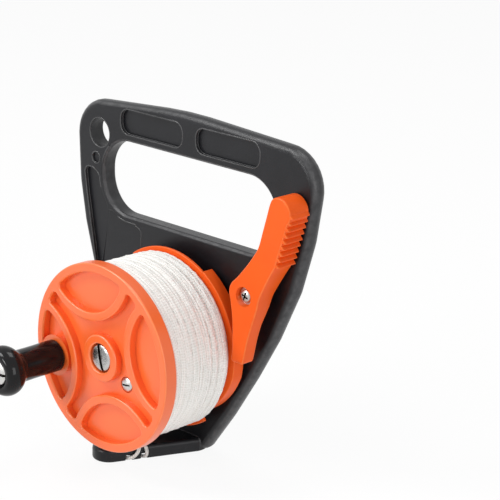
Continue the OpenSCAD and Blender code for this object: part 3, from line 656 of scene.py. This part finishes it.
# each radius, and how far out from the foot it is
knob_outline = [
    (0.00355, 0.0011), (0.0064, 0.0011), (0.0064, 0.0), (0.0083, 0.0), (0.0089, 0.0006),
    (0.0089, 0.0060), (0.0088, 0.0120), (0.0088, 0.0180), (0.0089, 0.0225), (0.0089, 0.0250),
    (0.0091, 0.0262), (0.0095, 0.0269), (0.0101, 0.0276)]
knob_outline += [(KNOB_R * cos(radians(a)), KNOB_WIDEST + KNOB_ROUND * sin(radians(a)))
                 for a in range(-40, 33, 6)]
knob_outline += [
    (0.0110, 0.0402), (0.0103, 0.0405), (0.0092, 0.0405), (0.0084, 0.0403), (0.0080, 0.0397),
    (0.0080, 0.0369), (0.00355, 0.0369)]
knob = turned_piece("knob_moulding", CRANK, KNOB_FOOT, [(r, -out) for r, out in knob_outline])
even_shading(knob, 40)
knob.data.materials.append(plastic("black_gloss", (0.007, 0.0068, 0.0075), roughness=0.10, drift=0.3,
                                   grain_scale=900, depth=0.00002, level=0.20))
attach(knob, "knob_set")
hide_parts("knob_grip")

knob_steel = metal("knob_screw_steel", (0.78, 0.77, 0.75), CRANK, roughness=0.16)
KNOB_SCREW_FRONT = stations("knob_screw")[0]
knob_screw = turned_piece("knob_screw_turned", CRANK, KNOB_SCREW_FRONT, [
    (0, 0), (0.0036, 0.00005), (0.0056, 0.00025), (0.0065, 0.00070), (0.0068, 0.00130),
    (0.0068, 0.00300), (0.0035, 0.00300), (0.0035, 0.03970), (0.0029, 0.03970), (0.0029, 0.04810),
    (0, 0.04810)])
knob_screw.data.materials.append(knob_steel)
mill_slot(knob_screw, CRANK, KNOB_SCREW_FRONT, wide=0.0014, long=0.016, depth=0.0014, turn=90)
round_over(knob_screw, edge=0.00012, steps=2, sharp=50)
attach(knob_screw, "spool_set")
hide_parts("knob_screw")
for node in ("knob_washer", "knob_nut"):
    dress(node, knob_steel)


# The thumb lever: an orange moulding that swings on a brass bush, with a stepped thumb side and a
# tail that works the ratchet rim. A cross-head screw and a steel coil spring hold it to the frame.

PIVOT = axis_of("lever_press")


# a smooth line through given points
def smooth(points, steps):
    ends = [2 * points[0] - points[1]] + points + [2 * points[-1] - points[-2]]
    made = []
    for a, b, c, d in zip(ends, ends[1:], ends[2:], ends[3:]):
        for k in range(steps):
            t = k / steps
            made.append(0.5 * (2 * b + (c - a) * t + (2 * a - 5 * b + 4 * c - d) * t * t
                               + (3 * b - a - 3 * c + d) * t * t * t))
    return made + [points[-1]]


# the outline in millimetres from the pivot: down the side with the ribs, then up the other side
right_side = [(21.6, 20.6), (17.9, 14.4), (13.8, 6.8), (11.0, 0.8), (9.4, -5.6), (6.3, -14.5),
              (3.2, -24), (0.3, -36.2), (-0.9, -38)]
left_side = [(-7.4, -38), (-8.8, -36.4), (-8.1, -31.5), (-8.3, -16), (-9.7, -5.4), (-11, 0), (-9.8, 5),
             (-4.7, 10.2), (1, 16.8), (5.9, 23.2), (9.7, 29.3), (12.4, 38), (15.1, 47), (17, 53.4),
             (18.4, 56.2), (20.8, 57.8), (24.2, 58.2), (27.6, 57), (30.2, 54.4), (31.5, 51.6), (31.4, 48.4),
             (30.6, 46.3), (29.6, 45.1)]
outline = []
for side in (right_side, left_side):
    outline += smooth([Vector(at) / 1000 for at in side], 4)
LEVER_FRONT, THUMB_BACK = stations("thumb_lever")
HUB_BACK, TAIL_BACK, LEVER_EDGE = -0.0036, -0.0062, 0.0012
THUMB_Z, TAIL_Z = 0.018, -0.016


# gives a drawing its depth, in one or more steps back from the front
def push_back(piece, depths):
    edit_all(piece)
    for depth in depths:
        bpy.ops.mesh.extrude_region_move(TRANSFORM_OT_translate={"value": (0, depth, 0)})
    bpy.ops.mesh.select_all(action="SELECT")
    bpy.ops.mesh.normals_make_consistent(inside=False)


# the back slopes in from the thumb to the hub, and on to the tail
def back_of_lever(z):
    if z > THUMB_Z:
        return THUMB_BACK
    if z > 0:
        return HUB_BACK + (THUMB_BACK - HUB_BACK) * z / THUMB_Z
    if z > TAIL_Z:
        return HUB_BACK + (TAIL_BACK - HUB_BACK) * z / TAIL_Z
    return TAIL_BACK


lever_points = [(PIVOT.x + at.x, LEVER_FRONT, PIVOT.z + at.y) for at in outline]
lever_moulding = drawn("lever_moulding", lever_points, "NGON")
push_back(lever_moulding, [THUMB_BACK - LEVER_FRONT])
for z in (THUMB_Z, 0, TAIL_Z):
    bpy.ops.mesh.select_all(action="SELECT")
    bpy.ops.mesh.bisect(plane_co=(0, 0, PIVOT.z + z), plane_no=(0, 0, 1))
bpy.ops.object.mode_set(mode="OBJECT")
for vertex in lever_moulding.data.vertices:
    if vertex.co.y > LEVER_FRONT / 2:
        vertex.co.y = back_of_lever(vertex.co.z - PIVOT.z)
round_over(lever_moulding, edge=LEVER_EDGE, steps=4, sharp=50)

# the counterbore of its screw, the hole for the bush and the seat of the spring
for r, front, back in ((0.0054, -0.016, -0.011), (0.00405, -0.012, -0.005), (0.0087, -0.0062, 0.001)):
    bore(lever_moulding, PIVOT, r, front, back)
even_shading(lever_moulding, CREASE)

# thumb ribs: one is drawn, pushed back and softened, then repeated down the arm; their front ends
# run over the round of the lever's front edge
RIBS = 9
RIB_FRONT, RIB_SLICES = -0.0146, (0.0005, 0.0006, 0.0008, 0.0114)
RIB_ROUND, RIB_ROUND_LONG, RIB_EDGE = 0.0022, sum(RIB_SLICES[:3]), 0.00033
rib_top, rib_foot = Vector((32.6, 48.3)) / 1000, Vector((23.7, 20.5)) / 1000
row = (rib_top - rib_foot).normalized()
inward = Vector((-row.y, row.x))
step = (rib_top - rib_foot).length / (RIBS - 1)
rib = [(0, 0), (0.04 * step, 0.0030), (0.60 * step, 0.0030), (0.60 * step, 0.0021), (0.20 * step, 0)]
rib = [rib_top + row * up + inward * deep for up, deep in rib]
ribs = drawn("thumb_ribs", [(PIVOT.x + at.x, RIB_FRONT, PIVOT.z + at.y) for at in rib], "NGON")
push_back(ribs, RIB_SLICES)
bpy.ops.object.mode_set(mode="OBJECT")
for vertex in ribs.data.vertices:
    before = max(0, RIB_FRONT + RIB_ROUND_LONG - vertex.co.y)
    sunk = inward * (RIB_ROUND - (RIB_ROUND ** 2 - before ** 2) ** 0.5)
    vertex.co += Vector((sunk.x, 0, sunk.y))
round_over(ribs, edge=RIB_EDGE, steps=3, sharp=30)
edit_all(ribs)
for i in range(RIBS - 1):
    bpy.ops.mesh.duplicate_move(TRANSFORM_OT_translate={"value": (-row.x * step, 0, -row.y * step)})
bpy.ops.object.mode_set(mode="OBJECT")
join(lever_moulding, ribs)
lever_moulding.data.materials.append(orange_moulding)
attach(lever_moulding, "lever_set")
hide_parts("thumb_lever")

lever_steel = metal("lever_screw_steel", (0.72, 0.71, 0.69), PIVOT, roughness=0.20)
LEVER_SCREW_FRONT = stations("lever_screw")[0]
lever_screw = turned_piece("lever_screw_head", PIVOT, LEVER_SCREW_FRONT, [
    (0, 0), (0.0016, 0.00008), (0.0027, 0.00040), (0.0034, 0.00095), (0.0036, 0.00160),
    (0.0036, 0.00220), (0.0019, 0.00220), (0.0019, 0.01920), (0, 0.01920)], steps=48)
lever_screw.data.materials.append(lever_steel)
for turn in (20, 110):
    mill_slot(lever_screw, PIVOT, LEVER_SCREW_FRONT, wide=0.0010, long=0.0044, depth=0.0014, turn=turn)
round_over(lever_screw, edge=0.00008, steps=2, sharp=50)
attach(lever_screw, "frame_set")
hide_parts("lever_screw")
dress("lever_washer", lever_steel)
dress("lever_bush", metal("turned_brass", (0.72, 0.50, 0.20), PIVOT, roughness=0.25))


# a wire or cord of an even thickness along its points
def wire_path(points, name, diameter, sides):
    deselect()
    line = bpy.data.curves.new(name, "CURVE")
    line.dimensions = "3D"
    line.bevel_depth = diameter / 2
    line.bevel_resolution = sides
    line.use_fill_caps = True
    strand = line.splines.new("POLY")
    strand.points.add(len(points) - 1)
    for spot, at in zip(strand.points, points):
        spot.co = (*at, 1)
    piece = bpy.data.objects.new(name, line)
    bpy.context.scene.collection.objects.link(piece)
    return piece


def around(centre, r, angle, y):
    return (centre.x + r * cos(radians(angle)), y, centre.z + r * sin(radians(angle)))


# the spring: two turns between a leg into the frame and a leg into the lever, each bent off square
SPRING_R, WIRE_D, SPRING_TURNS, PITCH = 0.0072, 0.0012, 2, 0.0017
START_ANGLE, START_Y, BEND_R = 200, -0.0021, 0.0014
END_ANGLE, END_Y = START_ANGLE - 360 * SPRING_TURNS, START_Y - PITCH * SPRING_TURNS
FRAME_LEG, LEVER_LEG, BEND_ANGLES = (0.0016, 0), (-0.0062, -0.0078), (20, 45, 70)
bend = 180 * BEND_R / (pi * SPRING_R)
on_spring = [(START_ANGLE + bend, y) for y in FRAME_LEG]
on_spring += [(START_ANGLE + bend * cos(radians(s)), START_Y + BEND_R * (1 - sin(radians(s))))
              for s in BEND_ANGLES]
on_spring += [(START_ANGLE - 10 * i, START_Y - PITCH * i / 36) for i in range(36 * SPRING_TURNS + 1)]
on_spring += [(END_ANGLE - bend * cos(radians(s)), END_Y - BEND_R * (1 - sin(radians(s))))
              for s in BEND_ANGLES[::-1]]
on_spring += [(END_ANGLE - bend, y) for y in LEVER_LEG]
spring_points = [around(PIVOT, SPRING_R, angle, y) for angle, y in on_spring]
spring = wire_path(spring_points, "lever_spring_wire", WIRE_D, 4)
made_solid(spring)
# the spring's steel is painted near black, as painted shade, so that it sinks into the shadow behind the
# lever
spring.data.materials.append(metal("spring_steel_painted_shade", (0.10, 0.10, 0.105), PIVOT, roughness=0.35))
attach(spring, "frame_set")
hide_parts("lever_spring")


# The line: white braided cord, two millimetres thick and a little wider where it lies flattened on
# the roll. It is wound in one close layer with two looser runs over it, all settled into each other.

LINE_WHITE, PLAIT_SHADE = (0.94, 0.932, 0.905), (0.80, 0.785, 0.75)


# two lays of strands that cross: so many plaits along, in turns of the UV map, and so many around
def braided(name, along, around_count, depth):
    made, tree, shader = new_material(name)
    shader.inputs["Specular IOR Level"].default_value = 0.25
    shader.inputs["Roughness"].default_value = 0.8
    shader.inputs["Sheen Weight"].default_value = 0.15
    where = add(tree, "ShaderNodeUVMap")
    split = add(tree, "ShaderNodeSeparateXYZ")
    tree.links.new(where.outputs["UV"], split.inputs["Vector"])
    lays = []
    for way in (1, -1):
        run = add(tree, "ShaderNodeMath", operation="MULTIPLY")
        run.inputs[1].default_value = along * 2 * pi
        lap = add(tree, "ShaderNodeMath", operation="MULTIPLY_ADD")
        lap.inputs[1].default_value = around_count * 2 * pi * way
        wave = add(tree, "ShaderNodeMath", operation="SINE")
        tree.links.new(split.outputs["X"], run.inputs[0])
        tree.links.new(split.outputs["Y"], lap.inputs[0])
        tree.links.new(run.outputs["Value"], lap.inputs[2])
        tree.links.new(lap.outputs["Value"], wave.inputs[0])
        lays.append(wave)
    over = add(tree, "ShaderNodeMath", operation="MULTIPLY")
    tree.links.new(lays[0].outputs["Value"], over.inputs[0])
    tree.links.new(lays[1].outputs["Value"], over.inputs[1])
    relief = add(tree, "ShaderNodeMapRange")
    relief.inputs["From Min"].default_value = -1
    tree.links.new(over.outputs["Value"], relief.inputs["Value"])
    fuzz = add(tree, "ShaderNodeTexNoise")
    fuzz.inputs["Scale"].default_value = 900
    fuzz.inputs["Detail"].default_value = 3
    coords = add(tree, "ShaderNodeTexCoord")
    tree.links.new(coords.outputs["Object"], fuzz.inputs["Vector"])
    # the hollows between the plaits are painted darker, as painted shade, with a random fuzz of tone over
    # it
    deep = add(tree, "ShaderNodeMix", data_type="RGBA")
    deep.inputs["A"].default_value = (*(white * dim for white, dim in zip(LINE_WHITE, PLAIT_SHADE)), 1)
    deep.inputs["B"].default_value = (*LINE_WHITE, 1)
    lift = add(tree, "ShaderNodeMath", operation="MULTIPLY_ADD", use_clamp=True)
    lift.inputs[1].default_value = 0.7
    tree.links.new(fuzz.outputs["Fac"], lift.inputs[0])
    tree.links.new(relief.outputs["Result"], lift.inputs[2])
    tree.links.new(lift.outputs["Value"], deep.inputs["Factor"])
    bump = add(tree, "ShaderNodeBump")
    bump.inputs["Distance"].default_value = depth
    tree.links.new(lift.outputs["Value"], bump.inputs["Height"])
    tree.links.new(deep.outputs["Result"], shader.inputs["Base Color"])
    tree.links.new(bump.outputs["Normal"], shader.inputs["Normal"])
    return made


STRAND_W, STEPS_PER_TURN, PLAITS_PER_METRE, PLAIT_DEPTH = 0.0024, 150, 340, 0.0004
PLAIT_SWELL, UNEVEN = 0.10, 0.22


# a run of turns laid by hand: each strays a little from its place and sits a little high or low
def laid_turns(start, end, turns, r, from_angle, stray, lift, seed):
    count = int(turns * STEPS_PER_TURN)
    points = []
    for i in range(count + 1):
        turn, share = i / STEPS_PER_TURN, i / count
        calm = min(1, 5 * share, 5 - 5 * share)
        wander = stray * calm * noise.noise(Vector((1.7 * turn, seed, 0.31 * turn)))
        slow = noise.noise(Vector((2.3 * turn, seed + 9, 0)))
        quick = noise.noise(Vector((9.1 * turn, seed + 5, 0)))
        bump = lift * (slow + 0.6 * quick)
        along = start + (end - start) * share + wander
        points.append(around(AXIS, r + bump, 360 * turn + from_angle, along))
    return points


wound = []
for start, end, turns, r, from_angle, stray, lift, seed in (
        (-0.0509, -0.0113, 17.5, 0.0475, 40, 0.0007, 0.0004, 1),
        (-0.0503, -0.0120, 8.5, 0.0479, 130, 0.0014, 0.0005, 4),
        (-0.0120, -0.0500, 5.5, 0.0480, 250, 0.0016, 0.0005, 7)):
    points = laid_turns(start, end, turns, r, from_angle, stray, lift, seed)
    strand = wire_path(points, "wound_line", STRAND_W, 3)
    for i, spot in enumerate(strand.data.splines[0].points):
        uneven = UNEVEN * noise.noise(Vector((0.45 * i, seed, 3)))
        spot.radius = 1 + PLAIT_SWELL * sin(2.1 * i) + uneven
    made_solid(strand)
    length = turns * 2 * pi * r
    for spot in strand.data.uv_layers.active.data:
        spot.uv.x *= length
    wound.append(strand)
winding = wound[0]
join(*wound)
winding.data.materials.append(braided("braided_line", PLAITS_PER_METRE, 2, PLAIT_DEPTH))
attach(winding, "spool_set")
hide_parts("line_winding")

# the layers underneath: a ridged roll, turned from the outline of the turns; its line is painted a darker
# white, as painted shade under and between the turns
ROLL_FRONT, ROLL_BACK = stations("line_core")
ROLL_IN_R, ROLL_R, RIDGE_H, RIDGES, STEPS_PER_RIDGE = 0.0252, 0.0468, 0.0003, 20, 6
steps, wide = RIDGES * STEPS_PER_RIDGE, ROLL_BACK - ROLL_FRONT
ridged = [(ROLL_R + RIDGE_H * cos(2 * pi * i / STEPS_PER_RIDGE), wide * i / steps)
          for i in range(steps + 1)]
ridged = [(ROLL_IN_R, 0)] + ridged + [(ROLL_IN_R, wide)]
roll = turned_piece("inner_layers", AXIS, ROLL_FRONT, ridged, steps=72)
bpy.ops.object.shade_smooth_by_angle(angle=radians(ROUND_STOCK))
roll.data.materials.append(plastic("packed_line_painted_shade", (0.80, 0.785, 0.75), roughness=0.8, drift=0.3,
                                   grain_scale=900, depth=0.0002, level=0.2))
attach(roll, "spool_set")
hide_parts("line_core")


# The end of the line: it comes off the roll, goes down over the tongue's edge, up through the guide
# hole and over the edge again, and is stopped with a small knot in the hollow under the tongue.

# sizes in millimetres: the slanting edge of the tongue, and the heights of the line under and over it
EDGE_X, EDGE_Y, EDGE_LEAN, EDGE_BEND = 15.622, -2.144, 0.47307, 2.2
low, over = 1.1, 9.8
middle, bow = (low + over) / 2, (over - low) / 2
dip = bow * sin(radians(45))


def edge_x(y):
    return EDGE_X + (y - EDGE_Y) * EDGE_LEAN


# the second strand runs slantwise down the tongue's edge
def slant(y, out, z):
    return (edge_x(y) - EDGE_BEND + out, y, z)


back_y, front_y = -29.7, -37.6
back_x = edge_x(back_y) - EDGE_BEND
tip_x, tip_y = -13.5, -41.5
WOUND_D, CLEAR, LINE_D, LEAVE_ANGLE = 98.4, 0.3, 2.0, radians(-115)
off = WOUND_D / 2 + CLEAR + LINE_D / 2
leave = Vector((off * cos(LEAVE_ANGLE), back_y, 1000 * AXIS.z + off * sin(LEAVE_ANGLE)))
route = [
    leave, leave + Vector((4, 0, -1.8)), leave + Vector((8, 0, -3.8)), leave + Vector((12, 0, -6.2)),
    (back_x - 4.3, back_y - 0.5, over + 1.3), (back_x, back_y - 1, over),
    (back_x + dip, back_y - 0.8, middle + dip), (back_x + bow, back_y - 0.4, middle),
    (back_x + dip, back_y, middle - dip), (back_x, back_y, low),
    (back_x - 3.8, back_y - 1, low), (back_x - 7.8, back_y - 4, low),
    (tip_x + 2, tip_y + 6.5, low), (tip_x + 0.6, tip_y + 3.4, low + 0.4), (tip_x, tip_y + 1, low + 2),
    (tip_x - 0.4, tip_y - 0.4, low + 4.4), (tip_x + 0.2, tip_y - 0.4, low + 6.8),
    (tip_x + 2.2, tip_y + 0.4, over), (tip_x + 6, tip_y + 3.2, over + 0.3),
    slant(-34.4, -2.4, over + 0.2), slant(-33, 0, over), slant(-33.3, dip, middle + dip),
    slant(-34.7, bow, middle), slant(-36.5, dip, middle - dip), slant(front_y, 0, low),
    slant(front_y - 0.2, -2.4, low), slant(front_y - 0.2, -4.2, low)]
route = [Vector(p) / 1000 for p in route]
loose = smooth(route, 5)
loose_length = sum((b - a).length for a, b in zip(loose, loose[1:]))
lead = wire_path(loose, "loose_end", LINE_D / 1000, 3)
lead.data.materials.append(braided("braided_end", PLAITS_PER_METRE * loose_length, 2, PLAIT_DEPTH))
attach(lead, "frame_set")
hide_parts("line_lead")

# stopper knot: one strand tied over itself and drawn tight
KNOT_OUT, KNOT_Z, KNOT_R, KNOT_RISE = 0.00145, 0.00155, 0.00030, 0.00055
KNOT_STRAND, KNOT_STEPS = 0.0011, 60
away = (route[-1] - route[-2]).normalized()
knot_at = route[-1] + away * KNOT_OUT
knot_at.z = KNOT_Z
knot_points = []
for i in range(KNOT_STEPS + 1):
    a = 2 * pi * i / KNOT_STEPS
    x, y = KNOT_R * (sin(a) + 2 * sin(2 * a)), KNOT_R * (cos(a) - 2 * cos(2 * a))
    knot_points.append(knot_at + Vector((x, y, -KNOT_RISE * sin(3 * a))))
knot = wire_path(knot_points, "stopper_knot", KNOT_STRAND, 3)
made_solid(knot)
knot.data.materials.append(braided("braided_knot", 6, 2, 0.00010))
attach(knot, "frame_set")
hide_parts("line_knot")


# The studio: a floor of white paper, a broad soft light above on the left, weaker ones in front, overhead
# and low on the right, and a camera with a long lens that looks down on the reel from its front right.

# 1 for what the eye sees, straight, mirrored or through glass, and 0 for the light on the reel
def looked_at(tree):
    seen = add(tree, "ShaderNodeLightPath")
    eye_or_mirror = add(tree, "ShaderNodeMath", operation="MAXIMUM")
    or_clear = add(tree, "ShaderNodeMath", operation="MAXIMUM")
    tree.links.new(seen.outputs["Is Camera Ray"], eye_or_mirror.inputs[0])
    tree.links.new(seen.outputs["Is Glossy Ray"], eye_or_mirror.inputs[1])
    tree.links.new(eye_or_mirror.outputs["Value"], or_clear.inputs[0])
    tree.links.new(seen.outputs["Is Transmission Ray"], or_clear.inputs[1])
    return or_clear.outputs["Value"]


FLOOR_WHITE, SKY_LIGHT = 0.92, 0.34
deselect()
bpy.ops.mesh.primitive_plane_add(size=6)
floor = bpy.context.object
floor.name = "floor"
paper, tree, shader = new_material("paper")
shader.inputs["Roughness"].default_value = 0.9
shader.inputs["Specular IOR Level"].default_value = 0.1
fibre = add(tree, "ShaderNodeTexNoise")
fibre.inputs["Scale"].default_value = 60
fibre_tone = add(tree, "ShaderNodeMapRange")
fibre_tone.inputs["To Min"].default_value = 0.93
fibre_tone.inputs["To Max"].default_value = 0.95
tree.links.new(fibre.outputs["Fac"], fibre_tone.inputs["Value"])
tree.links.new(fibre_tone.outputs["Result"], shader.inputs["Base Color"])
share = add(tree, "ShaderNodeMath", operation="MULTIPLY")
share.inputs[1].default_value = FLOOR_WHITE
glow = add(tree, "ShaderNodeEmission")
glow.inputs["Strength"].default_value = 1
white_sweep = add(tree, "ShaderNodeMixShader")
tree.links.new(looked_at(tree), share.inputs[0])
tree.links.new(share.outputs["Value"], white_sweep.inputs["Fac"])
tree.links.new(shader.outputs["BSDF"], white_sweep.inputs[1])
tree.links.new(glow.outputs["Emission"], white_sweep.inputs[2])
tree.links.new(white_sweep.outputs["Shader"], tree.nodes["Material Output"].inputs["Surface"])
floor.data.materials.append(paper)

world = bpy.data.worlds.new("studio")
bpy.context.scene.world = world
world.use_nodes = True
tree = world.node_tree
sky = tree.nodes["Background"]
sky.inputs["Color"].default_value = (1, 1, 1, 1)
level = add(tree, "ShaderNodeMapRange")
level.inputs["To Min"].default_value = SKY_LIGHT
level.inputs["To Max"].default_value = 1.0
tree.links.new(looked_at(tree), level.inputs["Value"])
tree.links.new(level.outputs["Result"], sky.inputs["Strength"])

LAMPS_AIM = Vector((0, -0.02, 0.09))
for name, at, wide, high, power in (
        ("key", (-0.7, -0.9, 1.3), 0.6, 0.6, 13.5), ("front", (-0.35, -1.5, 0.5), 0.4, 0.4, 7),
        ("top", (0.1, 0.3, 1.6), 0.7, 0.7, 8), ("right", (1.1, -0.4, 0.30), 0.4, 0.6, 3)):
    lamp = bpy.data.lights.new(name, "AREA")
    lamp.shape = "RECTANGLE"
    lamp.size = wide
    lamp.size_y = high
    lamp.energy = power
    holder = bpy.data.objects.new(name, lamp)
    holder.location = at
    holder.rotation_euler = (LAMPS_AIM - Vector(at)).to_track_quat("-Z", "Y").to_euler()
    bpy.context.scene.collection.objects.link(holder)

SENSOR_MM, FRAME_PX, FOCAL_PX = 36, 500, 1800
long_lens = bpy.data.cameras.new("camera")
long_lens.sensor_width = SENSOR_MM
long_lens.lens = SENSOR_MM * FOCAL_PX / FRAME_PX
camera = bpy.data.objects.new("camera", long_lens)
camera.location = (0.68078, -0.64705, 0.40972)
camera.rotation_euler = (radians(72.562), radians(-0.982), radians(44.490))
bpy.context.scene.collection.objects.link(camera)
bpy.context.scene.camera = camera
bpy.context.scene.view_settings.view_transform = "Standard"
